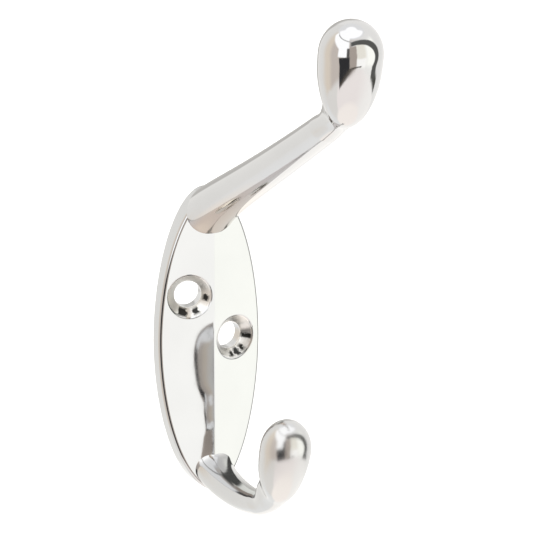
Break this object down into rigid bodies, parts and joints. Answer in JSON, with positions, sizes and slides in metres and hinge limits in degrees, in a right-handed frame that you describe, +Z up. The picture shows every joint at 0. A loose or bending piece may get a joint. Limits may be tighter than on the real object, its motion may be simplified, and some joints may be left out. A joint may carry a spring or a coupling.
{
  "type": "hat and coat hook",
  "caption": "Wall-mounted hat and coat hook in bright chrome: an oval ridged back plate with countersunk screw holes, a long upper arm and a short lower arm, each with an egg-shaped knob.",
  "frame": {"origin": "middle of the back plate's outline, on the wall face", "axes": "+Z up along the back plate, +Y into the wall, so the arms reach out along -Y, and +X to the right as the hook is seen from the front"},
  "size_m": [0.0214, 0.0716, 0.1076],
  "materials": {
    "back_plate": "bright polished plating",
    "upper_arm": "bright polished plating",
    "lower_arm": "bright polished plating"
  },
  "bodies": {
    "root": {"back_plate": "back_plate", "upper_arm": "upper_arm", "lower_arm": "lower_arm"}
  },
  "joints": []
}
